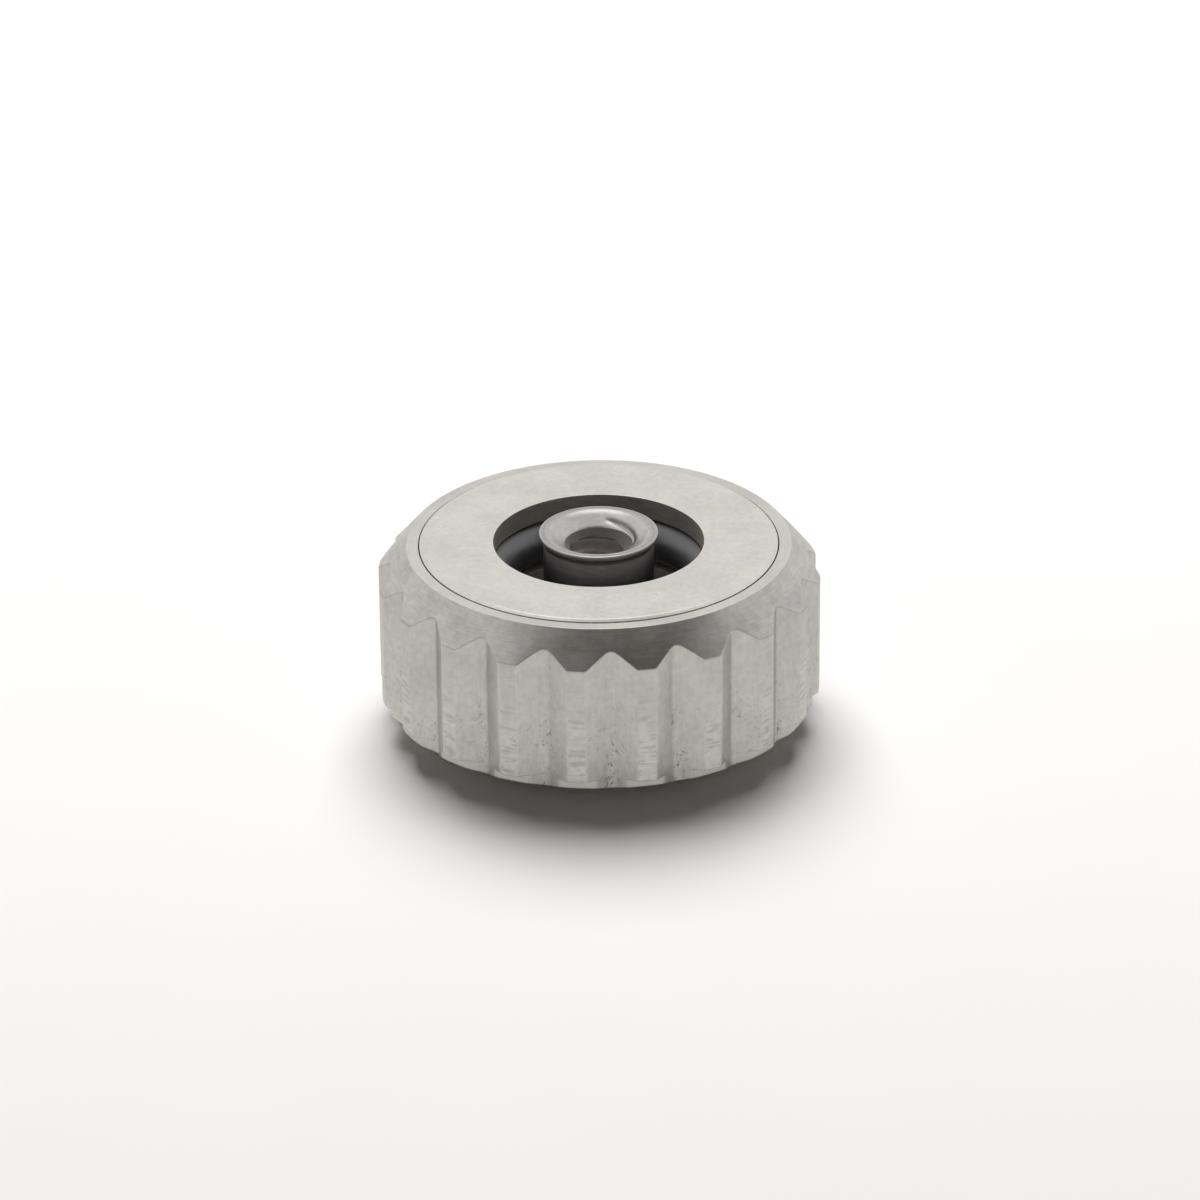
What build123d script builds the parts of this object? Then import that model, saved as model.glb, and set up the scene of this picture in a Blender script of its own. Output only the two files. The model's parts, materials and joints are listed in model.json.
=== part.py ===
from build123d import *

import math
import os

# A waterproof push-pull crown for a wristwatch, as a loose spare part.
# Millimetres. It stands on its bare outer face, and +Z points towards the watch,
# so the tapped post, the washer and the seals look up.
# The origin is the centre of the outer face. A land between two flutes lies on +X.

# Outside of the head, whose diameter follows from the tube, the seals, the seat and the rim
OUTER_FLAT_DIAMETER = 3.1  # flat disc in the middle of the outer face
OUTER_FACE_RISE = 0.42  # from the flat disc back to the edge of the domed outer face
OUTER_FACE_BULGE = 0.05  # how far the dome's arc stands out from its chord
BAND_STEP = 0.08  # how far the plain band below the grip lies in from the lands
BAND_HEIGHT = 0.13
GRIP_HEIGHT = 1.65
UPPER_CHAMFER_RISE = 0.445
UPPER_CHAMFER_RUN = 0.39
RIM_WIDTH = 0.17  # flat rim round the washer
SEAT_WIDTH = 0.59  # ledge round the chamber that the washer lies on

# Flutes of the grip
FLUTE_COUNT = 20
FLUTE_DEPTH = 0.18
FLUTE_ANGLE = 124.0  # degrees between the two walls of a flute
FLUTE_ROOT_RADIUS = 0.08

# Case tube that the crown slides over, which isn't part of the crown
TUBE_DIAMETER = 2.5

# Seals: two rubber rings with a steel spacer between them
RING_SECTION = 0.62
RING_SQUEEZE = 0.04  # how much smaller the free ring's inner radius is than the tube's
RING_SIDE_CLEARANCE = 0.02  # to the chamber's wall
STACK_CLEARANCE = 0.01  # above and below each rubber ring
SPACER_THICKNESS = 0.25
SPACER_TUBE_CLEARANCE = 0.05
SPACER_SIDE_CLEARANCE = 0.02

# Retaining washer, pressed into a step of the head
WASHER_THICKNESS = 0.30
WASHER_TUBE_CLEARANCE = 0.175
WASHER_PROUD = 0.035  # how far the washer stands above the rim
WASHER_SIDE_CLEARANCE = 0.012  # the fine dark line between washer and rim
EDGE_BREAK = 0.03  # small chamfer on the washer's upper edges and the rim's inner edge

# Stem post, pressed into a socket in the chamber's floor
POST_RISE = 0.13  # above the washer
POST_DIAMETER = 1.5
LIP_DIAMETER = 1.62
LIP_THICKNESS = 0.06
FOOT_DIAMETER = 1.3  # pressed in, line to line with its socket
FOOT_RELIEF = 0.05  # free space below the foot
SOCKET_FLOOR = 0.30  # steel left between socket and outer face
CHAMBER_CORNER_RADIUS = 0.08

# Tapped hole for the winding stem
MOUTH_DIAMETER = 1.4
COUNTERSINK_ANGLE = 103.0  # degrees, down to the thread's crests
THREAD_DIAMETER = 0.90
THREAD_PITCH = 0.225
CREST_SHARE = 0.96  # of the pitch, what the nut thread's crests take off its diameter
DRILL_POINT_ANGLE = 118.0  # degrees
HOLE_FLOOR = 0.27  # steel left below the drill point

# Overrun of every cutter past the surface that it cuts
OVERRUN = 0.5

# Radii, from the case tube outwards
RING_INNER_RADIUS = TUBE_DIAMETER / 2 - RING_SQUEEZE
CHAMBER_RADIUS = RING_INNER_RADIUS + RING_SECTION + RING_SIDE_CLEARANCE
STEP_RADIUS = CHAMBER_RADIUS + SEAT_WIDTH
RIM_OUTER_RADIUS = STEP_RADIUS + RIM_WIDTH
HEAD_RADIUS = RIM_OUTER_RADIUS + UPPER_CHAMFER_RUN
CREST_RADIUS = (THREAD_DIAMETER - CREST_SHARE * THREAD_PITCH) / 2

# Levels above the outer face, from the outside inwards
GRIP_FOOT_Z = OUTER_FACE_RISE + BAND_HEIGHT
GRIP_TOP_Z = GRIP_FOOT_Z + GRIP_HEIGHT
RIM_Z = GRIP_TOP_Z + UPPER_CHAMFER_RISE
WASHER_TOP_Z = RIM_Z + WASHER_PROUD
STEP_Z = WASHER_TOP_Z - WASHER_THICKNESS
OUTER_RING_Z = STEP_Z - STACK_CLEARANCE - RING_SECTION / 2
SPACER_TOP_Z = OUTER_RING_Z - RING_SECTION / 2 - STACK_CLEARANCE
SPACER_FOOT_Z = SPACER_TOP_Z - SPACER_THICKNESS
INNER_RING_Z = SPACER_FOOT_Z - STACK_CLEARANCE - RING_SECTION / 2
CHAMBER_FLOOR_Z = INNER_RING_Z - RING_SECTION / 2 - STACK_CLEARANCE
POST_TOP_Z = WASHER_TOP_Z + POST_RISE
POST_FOOT_Z = SOCKET_FLOOR + FOOT_RELIEF
COUNTERSINK_DEPTH = (MOUTH_DIAMETER / 2 - CREST_RADIUS) / math.tan(math.radians(COUNTERSINK_ANGLE / 2))
THREAD_TOP_Z = POST_TOP_Z - COUNTERSINK_DEPTH
DRILL_TIP_Z = POST_FOOT_Z + HOLE_FLOOR
THREAD_FOOT_Z = DRILL_TIP_Z + CREST_RADIUS / math.tan(math.radians(DRILL_POINT_ANGLE / 2))


def turned(*edges):
    """A solid turned round the Z axis from edges drawn as (radius, height)."""
    outline = Plane.XZ * make_face(Curve() + list(edges))
    return revolve(outline, Axis.Z)


def turned_ring(inner_radius, outer_radius, foot_z, top_z):
    """A plain ring of rectangular section."""
    section = Polyline(
        (inner_radius, foot_z),
        (outer_radius, foot_z),
        (outer_radius, top_z),
        (inner_radius, top_z),
        close=True,
    )
    return turned(section)


def flute_cutter():
    """One flute along the whole head: a V with a rounded root, open to the outside, on +X."""
    half_angle = math.radians(FLUTE_ANGLE / 2)
    root_rounding = FLUTE_ROOT_RADIUS * (1 / math.sin(half_angle) - 1)
    apex = HEAD_RADIUS - FLUTE_DEPTH - root_rounding
    open_end = HEAD_RADIUS + OVERRUN
    half_width = (open_end - apex) * math.tan(half_angle)
    corners = ((apex, 0), (open_end, -half_width), (open_end, half_width))
    section = make_face(Polyline(*corners, close=True))
    section = fillet(section.vertices().sort_by(Axis.X)[0], FLUTE_ROOT_RADIUS)
    return Pos(0, 0, -OVERRUN) * extrude(section, RIM_Z + 2 * OVERRUN)


def crown_head():
    """The fluted head, with the step for the washer, the chamber and the post's socket."""
    band_radius = HEAD_RADIUS - BAND_STEP
    flat_edge = (OUTER_FLAT_DIAMETER / 2, 0)
    dome_edge = (band_radius, OUTER_FACE_RISE)
    dome = SagittaArc(flat_edge, dome_edge, -OUTER_FACE_BULGE)
    walls = Polyline(
        dome_edge,
        (band_radius, GRIP_FOOT_Z),
        (HEAD_RADIUS, GRIP_FOOT_Z),
        (HEAD_RADIUS, GRIP_TOP_Z),
        (RIM_OUTER_RADIUS, RIM_Z),
        (STEP_RADIUS + EDGE_BREAK, RIM_Z),
        (STEP_RADIUS, RIM_Z - EDGE_BREAK),
        (STEP_RADIUS, STEP_Z),
        (CHAMBER_RADIUS, STEP_Z),
        (CHAMBER_RADIUS, CHAMBER_FLOOR_Z),
        (FOOT_DIAMETER / 2, CHAMBER_FLOOR_Z),
        (FOOT_DIAMETER / 2, SOCKET_FLOOR),
        (0, SOCKET_FLOOR),
        (0, 0),
        flat_edge,
    )
    blank = turned(dome, walls)
    floor_corner = blank.edges().filter_by(GeomType.CIRCLE).filter_by(
        lambda edge: math.isclose(edge.radius, CHAMBER_RADIUS)
    )
    blank = fillet(floor_corner.sort_by(Axis.Z)[0], CHAMBER_CORNER_RADIUS)
    pitch = 360 / FLUTE_COUNT
    cutter = flute_cutter()
    flutes = [Rot(0, 0, (number + 1 / 2) * pitch) * cutter for number in range(FLUTE_COUNT)]
    return blank - flutes


def stem_post():
    """The tapped post: foot, shoulder on the chamber's floor, body and flared lip."""
    foot_radius = FOOT_DIAMETER / 2
    body_radius = POST_DIAMETER / 2
    lip_radius = LIP_DIAMETER / 2
    lip_foot_z = POST_TOP_Z - LIP_THICKNESS
    outside = Polyline(
        (0, POST_FOOT_Z),
        (foot_radius, POST_FOOT_Z),
        (foot_radius, CHAMBER_FLOOR_Z),
        (body_radius, CHAMBER_FLOOR_Z),
        (body_radius, lip_foot_z - (lip_radius - body_radius)),
        (lip_radius, lip_foot_z),
        (lip_radius, POST_TOP_Z),
        (MOUTH_DIAMETER / 2, POST_TOP_Z),
    )
    hole = Polyline(
        (MOUTH_DIAMETER / 2, POST_TOP_Z),
        (CREST_RADIUS, THREAD_TOP_Z),
        (CREST_RADIUS, THREAD_FOOT_Z),
        (0, DRILL_TIP_Z),
        (0, POST_FOOT_Z),
    )
    return turned(outside, hole)


def rubber_ring(centre_z):
    """One sealing ring of round section, as it lies free in the chamber."""
    mean_radius = RING_INNER_RADIUS + RING_SECTION / 2
    return Pos(0, 0, centre_z) * Torus(mean_radius, RING_SECTION / 2)


def spacer_ring():
    """The flat steel ring between the two rubber rings."""
    inner_radius = TUBE_DIAMETER / 2 + SPACER_TUBE_CLEARANCE
    outer_radius = CHAMBER_RADIUS - SPACER_SIDE_CLEARANCE
    return turned_ring(inner_radius, outer_radius, SPACER_FOOT_Z, SPACER_TOP_Z)


def retaining_washer():
    """The disc that closes the chamber, with its upper edges broken."""
    outer_radius = STEP_RADIUS - WASHER_SIDE_CLEARANCE
    hole_radius = TUBE_DIAMETER / 2 + WASHER_TUBE_CLEARANCE
    section = Polyline(
        (hole_radius, STEP_Z),
        (outer_radius, STEP_Z),
        (outer_radius, WASHER_TOP_Z - EDGE_BREAK),
        (outer_radius - EDGE_BREAK, WASHER_TOP_Z),
        (hole_radius + EDGE_BREAK, WASHER_TOP_Z),
        (hole_radius, WASHER_TOP_Z - EDGE_BREAK),
        close=True,
    )
    return turned(section)


pieces = {
    "crown_head": crown_head(),
    "stem_post": stem_post(),
    "inner_o_ring": rubber_ring(INNER_RING_Z),
    "spacer_ring": spacer_ring(),
    "outer_o_ring": rubber_ring(OUTER_RING_Z),
    "retaining_washer": retaining_washer(),
}

os.makedirs("parts", exist_ok=True)
for name, piece in pieces.items():
    export_step(piece, f"parts/{name}.step")
    print(name, round(piece.volume, 3), "mm3")

print("head diameter", round(2 * HEAD_RADIUS, 3))
print("washer top", round(WASHER_TOP_Z, 3), "post top", round(POST_TOP_Z, 3))
print("chamber floor", round(CHAMBER_FLOOR_Z, 3), "chamber radius", round(CHAMBER_RADIUS, 3))
print("thread crest radius", round(CREST_RADIUS, 3))
print("thread from", round(THREAD_FOOT_Z, 4), "to", round(THREAD_TOP_Z, 4))
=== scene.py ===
"""A loose waterproof watch crown, seen from the side that faces the watch.

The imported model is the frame: it gives each piece's foot, top and outside radius. Each
piece is turned again here at a finer resolution, cut with its flutes or its thread, and
finished in procedural steel or rubber. Lengths are in metres, +Z towards the watch.
"""

import json
import logging
import math
from dataclasses import dataclass, field
from enum import Enum, IntEnum
from typing import Callable, NamedTuple, Optional, Sequence

import bmesh
import bpy
from mathutils import Matrix, Vector


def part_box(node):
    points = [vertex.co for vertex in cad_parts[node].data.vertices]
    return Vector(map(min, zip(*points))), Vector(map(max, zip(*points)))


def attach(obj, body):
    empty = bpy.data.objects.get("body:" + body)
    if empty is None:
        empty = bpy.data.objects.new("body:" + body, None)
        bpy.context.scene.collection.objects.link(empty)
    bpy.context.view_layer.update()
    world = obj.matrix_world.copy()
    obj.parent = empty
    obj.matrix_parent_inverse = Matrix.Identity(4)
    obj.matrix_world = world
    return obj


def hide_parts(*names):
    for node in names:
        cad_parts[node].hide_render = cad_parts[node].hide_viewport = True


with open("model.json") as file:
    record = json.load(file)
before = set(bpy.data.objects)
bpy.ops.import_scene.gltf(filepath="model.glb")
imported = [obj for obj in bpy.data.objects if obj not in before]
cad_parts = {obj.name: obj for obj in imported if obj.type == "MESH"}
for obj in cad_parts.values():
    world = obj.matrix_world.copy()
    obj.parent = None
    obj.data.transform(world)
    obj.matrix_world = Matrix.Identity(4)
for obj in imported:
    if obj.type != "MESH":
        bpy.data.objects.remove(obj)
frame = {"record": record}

log = logging.getLogger("crown")

MM = 0.001
PER_MM = 1000.0  # turns Object coordinates into millimetres inside a material
WELD = 1e-7  # merges the copies of a vertex on the axis
SHARP = math.radians(38)  # an edge steeper than this isn't shaded as round
HOLD = 1.25  # where the ring that keeps a wall flat lies, as a share of the rounding
MOST_ROUNDED = 0.45  # the largest share of a wall that one corner's rounding takes
MOST_HELD = 0.48  # the same for the ring that keeps the wall flat
Colour = tuple[float, float, float]
WHITE: Colour = (1.0, 1.0, 1.0)
UP = Vector((0, 0, 1))

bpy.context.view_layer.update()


# Outlines and turning


class PlainZone(IntEnum):
    """The one surface of a piece that has a single finish. The value is its material index."""

    WHOLE = 0


class Corner(NamedTuple):
    """A corner of a turned outline, and the finish of the wall that follows it."""

    radius: float
    height: float
    zone: IntEnum
    rounding: float = 0.0
    rows: int = 1


class Station(NamedTuple):
    """One point of the traced outline: a ring of the turned mesh."""

    radius: float
    height: float
    zone: IntEnum
    edge: float = 0.0


def towards(
    start: Corner, end: Corner, distance: float, most: float = MOST_ROUNDED
) -> tuple[float, float]:
    """The point a distance from one corner towards another.

    Args:
        start: The corner to leave.
        end: The corner to head for.
        distance: How far to go.
        most: The largest share of the way.

    Returns:
        The point's radius and height.
    """
    across, up = end.radius - start.radius, end.height - start.height
    length = math.hypot(across, up)
    share = min(distance / length, most) if length else 0.0
    return start.radius + share * across, start.height + share * up


def round_off(before: Corner, corner: Corner, after: Corner, steps: int) -> list[Station]:
    """Rounds one corner, with a ring on either side that keeps its walls flat.

    Args:
        before: The corner before it.
        corner: The corner.
        after: The corner after it.
        steps: How many steps the rounding takes.

    Returns:
        The stations in order.
    """
    start = towards(corner, before, corner.rounding)
    end = towards(corner, after, corner.rounding)
    held = HOLD * corner.rounding
    stations = [Station(*towards(corner, before, held, MOST_HELD), before.zone)]
    for step in range(steps + 1):
        t = step / steps
        radius, height = (
            (1 - t) ** 2 * a + 2 * t * (1 - t) * c + t**2 * b
            for a, c, b in zip(start, corner[:2], end)
        )
        zone = before.zone if t < 0.5 else corner.zone
        stations.append(Station(radius, height, zone, 1 - abs(2 * t - 1)))
    stations.append(Station(*towards(corner, after, held, MOST_HELD), corner.zone))
    return stations


def trace(corners: Sequence[Corner], arc_steps: int = 4) -> list[Station]:
    """Rounds the corners of an outline and divides its walls.

    Args:
        corners: The outline, from its first point to its last.
        arc_steps: How many steps round each rounded corner.

    Returns:
        The stations in order. The same corners with other sizes give as many stations.
    """
    stations: list[Station] = []
    last = len(corners) - 1
    for index, corner in enumerate(corners):
        if corner.rounding > 0 and 0 < index < last:
            stations += round_off(corners[index - 1], corner, corners[index + 1], arc_steps)
        else:
            stations.append(Station(corner.radius, corner.height, corner.zone))
        if index == last or corner.rows == 1:
            continue
        after, left = corners[index + 1], stations[-1]
        right = after[:2]
        if after.rounding and index + 1 < last:
            right = towards(after, corner, HOLD * after.rounding, MOST_HELD)
        for row in range(1, corner.rows):
            t = row / corner.rows
            radius = left.radius + t * (right[0] - left.radius)
            height = left.height + t * (right[1] - left.height)
            stations.append(Station(radius, height, corner.zone))
    return stations


def dome(
    start: tuple[float, float],
    end: tuple[float, float],
    bulge: float,
    cut_radius: float,
    steps: int,
) -> list[tuple[float, float]]:
    """Points along an arc that stands out from the chord between two points.

    Args:
        start: Radius and height of the arc's first point, which is left out.
        end: Radius and height of its last point.
        bulge: The arc's height over its chord, to the right of the way from start to end.
        cut_radius: The radius where a flute cuts the arc short, if it is less than the end's.
        steps: How many steps the arc takes.

    Returns:
        The points up to the end or the cut, as radius and height.
    """
    chord = Vector((end[0] - start[0], end[1] - start[1]))
    side = Vector((chord.y, -chord.x)).normalized()
    lean = 4 * bulge * side.x
    reach = 1.0
    if cut_radius < end[0]:
        run = chord.x + lean
        reach = (run - math.sqrt(run**2 - 4 * lean * (cut_radius - start[0]))) / (2 * lean)
    places = []
    for step in range(1, steps + 1):
        t = reach * step / steps
        places.append(tuple(Vector(start) + t * chord + 4 * t * (1 - t) * bulge * side))
    return places


class Turned:
    """A mesh turned round the Z axis from an outline, with the layers that later cuts read."""

    def __init__(self, stations: Sequence[Station], columns: int, closed: bool = False) -> None:
        """Spins the outline a full turn.

        Args:
            stations: The outline. One that isn't closed starts and ends on the axis.
            columns: How many steps the turn takes.
            closed: Whether the last station joins the first, as in a ring.
        """
        self.columns = columns
        self.mesh = bmesh.new()
        self.station = self.mesh.verts.layers.int.new("station")
        # How far into a rounding each ring lies; finishes turn it into painted highlight or painted
        # shade
        self.edge = self.mesh.verts.layers.float.new("edge")
        points = []
        for index, station in enumerate(stations):
            point = self.mesh.verts.new((station.radius, 0.0, station.height))
            point[self.station] = index
            point[self.edge] = station.edge
            points.append(point)
        follows = points[1:] + points[:1] if closed else points[1:]
        wire = [self.mesh.edges.new(pair) for pair in zip(points, follows)]
        bmesh.ops.spin(
            self.mesh,
            geom=points + wire,
            cent=(0, 0, 0),
            axis=(0, 0, 1),
            angle=math.tau,
            steps=columns,
            use_merge=True,
        )
        bmesh.ops.remove_doubles(self.mesh, verts=self.mesh.verts[:], dist=WELD)
        self.zone_faces(stations, closed)

    def zone_faces(self, stations: Sequence[Station], closed: bool) -> None:
        """Gives each face the material index of the wall it lies on.

        Args:
            stations: The outline.
            closed: Whether the outline is a ring's.
        """
        last = len(stations) - 1
        for face in self.mesh.faces:
            rings = [vert[self.station] for vert in face.verts]
            first = min(rings)
            if closed and first == 0 and max(rings) == last:
                first = last
            face.material_index = int(stations[first].zone)
            face.smooth = True

    def column(self, vert: bmesh.types.BMVert) -> int:
        """Which column of the turned mesh a vertex is on."""
        turn = math.atan2(vert.co.y, vert.co.x) / math.tau
        return round(turn * self.columns) % self.columns

    def to_object(
        self, name: str, materials: Sequence[bpy.types.Material], node: str
    ) -> bpy.types.Object:
        """Writes the mesh to an object, dresses it and gives it to its body.

        Args:
            name: The object's name.
            materials: The finishes, in the order of the zones.
            node: The node that it stands for.

        Returns:
            The object, in place.
        """
        bmesh.ops.recalc_face_normals(self.mesh, faces=self.mesh.faces[:])
        for edge in self.mesh.edges:
            edge.smooth = edge.calc_face_angle(0.0) < SHARP
        data = bpy.data.meshes.new(name)
        self.mesh.to_mesh(data)
        self.mesh.free()
        for material in materials:
            data.materials.append(material)
        piece = add_object(name, data)
        normals = piece.modifiers.new("even_normals", "WEIGHTED_NORMAL")
        normals.keep_sharp = True
        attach(piece, body_of(node))
        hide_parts(node)
        return piece


def add_object(name: str, data: bpy.types.ID) -> bpy.types.Object:
    """Makes an object and puts it in the scene.

    Args:
        name: The object's name.
        data: Its mesh, camera or light.

    Returns:
        The object.
    """
    made = bpy.data.objects.new(name, data)
    bpy.context.scene.collection.objects.link(made)
    return made


def body_of(node: str) -> str:
    """The body that a node rides on.

    Args:
        node: The node.

    Returns:
        The body's name, which is the root in a model without joints.
    """
    for body, nodes in (frame["record"].get("behaviour") or {}).get("bodies", {}).items():
        if node in nodes:
            return body
    return "root"


# Shader graphs


class Fade(NamedTuple):
    """A smooth change: low to high maps onto start to end, and the ends hold."""

    low: float
    high: float
    start: float = 0.0
    end: float = 1.0


class Grain(NamedTuple):
    """Noise stretched round the axis, in the waves that Place.wrapped takes."""

    around: float
    out: float
    up: float
    detail: float = 2.0
    rough: float = 0.5


# The part of a noise's values that a change is spread over: a narrower one has harder edges
LINE_SPAN = (0.25, 0.75)
NOISE_SPAN = (0.3, 0.7)
STAIN_SPAN = (0.35, 0.65)


class Graph:
    """The node tree of a material or a world, with short calls for the nodes used here."""

    def __init__(self, owner: bpy.types.ID) -> None:
        """Empties the tree and keeps it.

        Args:
            owner: The material or world to build in.
        """
        owner.use_nodes = True
        self.tree = owner.node_tree
        self.tree.nodes.clear()

    def add(self, kind: str, **settings: object) -> bpy.types.Node:
        """Adds a node.

        Args:
            kind: The node's class.
            **settings: The node's own properties.

        Returns:
            The node.
        """
        node = self.tree.nodes.new(kind)
        for name, value in settings.items():
            setattr(node, name, value)
        return node

    def feed(self, socket: bpy.types.NodeSocket, value: object) -> None:
        """Links a socket or sets its constant. A colour gets full opacity.

        Args:
            socket: The input.
            value: Another node's output, a number, a vector or a colour.
        """
        if isinstance(value, bpy.types.NodeSocket):
            self.tree.links.new(value, socket)
        elif socket.type == "RGBA":
            socket.default_value = (*value, 1.0)
        else:
            socket.default_value = value

    def fill(self, node: bpy.types.Node, values: dict[str, object]) -> None:
        """Feeds a node's inputs by name."""
        for name, value in values.items():
            self.feed(node.inputs[name], value)

    def row(self, kind: str, values: Sequence[object], **settings: object) -> bpy.types.Node:
        """Adds a node and feeds its inputs in order.

        Args:
            kind: The node's class.
            values: What its first inputs get.
            **settings: The node's own properties.

        Returns:
            The node.
        """
        node = self.add(kind, **settings)
        for socket, value in zip(node.inputs, values):
            self.feed(socket, value)
        return node

    def math(self, operation: str, *values: object, clamp: bool = False) -> bpy.types.NodeSocket:
        """A Math node's result, held within 0 and 1 if it is clamped."""
        return self.row("ShaderNodeMath", values, operation=operation, use_clamp=clamp).outputs[0]

    def product(self, first: object, *others: object) -> bpy.types.NodeSocket:
        """The product of two or more numbers.

        Args:
            first: The first.
            *others: The rest.

        Returns:
            The output socket.
        """
        for other in others:
            first = self.math("MULTIPLY", first, other)
        return first

    def vector(self, operation: str, *values: object) -> bpy.types.NodeSocket:
        """A Vector Math node's result, a number for a dot product or a length."""
        node = self.row("ShaderNodeVectorMath", values, operation=operation)
        return node.outputs["Value" if operation in ("DOT_PRODUCT", "LENGTH") else "Vector"]

    def combine(self, x: object, y: object, z: object) -> bpy.types.NodeSocket:
        """A vector of three values."""
        return self.row("ShaderNodeCombineXYZ", (x, y, z)).outputs[0]

    def scaled(self, vector: object, amount: object) -> bpy.types.NodeSocket:
        """A vector or colour times a number."""
        return self.vector("MULTIPLY", vector, self.combine(amount, amount, amount))

    def noise(
        self, place: object, scale: float = 1.0, detail: float = 2.0, rough: float = 0.5
    ) -> bpy.types.NodeSocket:
        """Fractal noise, about 0.5 on average.

        Args:
            place: Where it is read.
            scale: How many waves to a unit of place.
            detail: How many finer layers it has.
            rough: How strong they are.

        Returns:
            The noise's value.
        """
        node = self.add("ShaderNodeTexNoise")
        self.fill(node, {"Vector": place, "Scale": scale, "Detail": detail, "Roughness": rough})
        return node.outputs[0]

    def span(
        self, value: object, low: float, high: float, start: float = 0.0, end: float = 1.0
    ) -> bpy.types.NodeSocket:
        """A value mapped smoothly from low and high onto start and end, where it holds."""
        values = (value, low, high, start, end)
        return self.row("ShaderNodeMapRange", values, interpolation_type="SMOOTHSTEP").outputs[0]

    def blend(self, factor: object, first: object, second: object) -> bpy.types.NodeSocket:
        """A mix of two colours.

        Args:
            factor: How much of the second shows.
            first: The first colour.
            second: The second.

        Returns:
            The mixed colour.
        """
        node = self.add("ShaderNodeMix", data_type="RGBA")
        self.feed(node.inputs[0], factor)
        self.feed(node.inputs[6], first)
        self.feed(node.inputs[7], second)
        return node.outputs[2]

    def bump(self, height: object, depth: float, strength: float) -> bpy.types.NodeSocket:
        """A bumped normal.

        Args:
            height: The relief, 0 to 1.
            depth: What 1 stands for, in metres.
            strength: How much of it shows.

        Returns:
            The normal.
        """
        node = self.add("ShaderNodeBump")
        self.fill(node, {"Strength": strength, "Distance": depth, "Height": height})
        return node.outputs[0]

    def show(self, shader: bpy.types.Node, kind: str = "ShaderNodeOutputMaterial") -> None:
        """Makes a shader the surface that the tree shows."""
        self.feed(self.add(kind).inputs["Surface"], shader.outputs[0])


class Place:
    """Where a shaded point lies on the crown, in millimetres from its axis and foot."""

    def __init__(self, graph: Graph) -> None:
        """Adds the nodes that work it out from Object coordinates.

        Args:
            graph: The material's graph.
        """
        self.graph = graph
        coordinates = graph.add("ShaderNodeTexCoord").outputs["Object"]
        self.point = graph.vector("MULTIPLY", coordinates, (PER_MM, PER_MM, PER_MM))
        x, y, self.height = graph.row("ShaderNodeSeparateXYZ", (self.point,)).outputs
        flat = graph.combine(x, y, 0.0)
        self.radius = graph.vector("LENGTH", flat)
        self.direction = graph.vector("NORMALIZE", flat)

    def wrapped(self, around: float, out: float, up: float) -> bpy.types.NodeSocket:
        """A place for noise that is stretched round the axis without a seam.

        Args:
            around: Waves to a millimetre along the rim of a disc of 1 mm radius.
            out: Waves to a millimetre of radius.
            up: Waves to a millimetre of height.

        Returns:
            The place.
        """
        graph = self.graph
        turn = graph.vector("MULTIPLY", self.direction, (around, around, 0.0))
        rise = graph.math("MULTIPLY", self.height, up)
        level = graph.math("MULTIPLY_ADD", self.radius, out, rise)
        return graph.vector("ADD", turn, graph.combine(0.0, 0.0, level))

    def grain(self, grain: Grain) -> bpy.types.NodeSocket:
        """Noise that is stretched round the axis."""
        stretched = self.wrapped(grain.around, grain.out, grain.up)
        return self.graph.noise(stretched, detail=grain.detail, rough=grain.rough)


# Finishes, whose lengths are in millimetres but for the depth of their relief


class Lay(Enum):
    """Which way the fine lines of a machined surface run."""

    ROUND = "round the axis"
    ALONG = "along the axis"
    EVEN = "no direction"


ROUND_RADIUS = 2.6  # where lines round the axis have the length that is given for them
FLUTE_RADIUS = 2.9  # where lines along the axis have the pitch that is given for them
FLUTE_DEPTH_SHARE = 0.3  # how fast those lines change with the radius, over their pitch
STAIN_SHARE = 2.1  # stains to the width of a cloud
CLOUD_POLISH = (-0.02, 0.03)  # how much clouds smoothen and roughen the steel


@dataclass(frozen=True)
class DirtAndRootShade:
    """Dark specks of old grease, and a mottled darkening along a flute's root that is partly grease
    and partly painted shade in that crease.
    """

    everywhere: float = 0.07
    at_root: float = 0.45
    roughening: float = 0.3
    tint: Colour = (0.21, 0.175, 0.15)
    root: Fade = Fade(2.875, 2.825)  # by radius, from a flute's clean wall in to its root
    foot: Fade = Fade(1.9, 0.9, 0.15)  # by height, down to the grip's foot
    specks: Grain = Grain(64.0, 20.0, 18.0, 3.0, 0.7)
    speck_edge: Fade = Fade(0.54, 0.65)
    patches: Grain = Grain(9.0, 3.0, 2.0)
    patch_edge: Fade = Fade(0.36, 0.54)
    mottle: Grain = Grain(46.0, 14.0, 3.5, 3.0, 0.65)
    mottle_edge: Fade = Fade(0.36, 0.66)
    mottle_patch_edge: Fade = Fade(0.25, 0.6, 0.35)
    # Painted shade in a flute's root, partly grease: darker towards the grip's foot
    root_dirt_and_shade: Fade = Fade(2.2, 0.9, 0.072, 0.12)  # by height, down to the grip's foot


@dataclass(frozen=True)
class Chatter:
    """Short level marks that a dull tool left on the lands, stronger towards their foot."""

    radius: float = 3.0  # where they have the length given here
    length: float = 0.26
    pitch: float = 0.050
    stray: float = 0.06  # how far they wander up and down
    stray_scale: float = 2.4
    tone: Fade = Fade(0.38, 0.50, -0.12, 0.11)  # from a mark to the patch it lies on
    patches: Grain = Grain(13.0, 0.0, 2.0)
    patch_edge: Fade = Fade(0.28, 0.50)
    foot: Fade = Fade(1.9, 1.05, 0.12)  # by height, down to the grip's foot
    relief: float = 3.0


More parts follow.
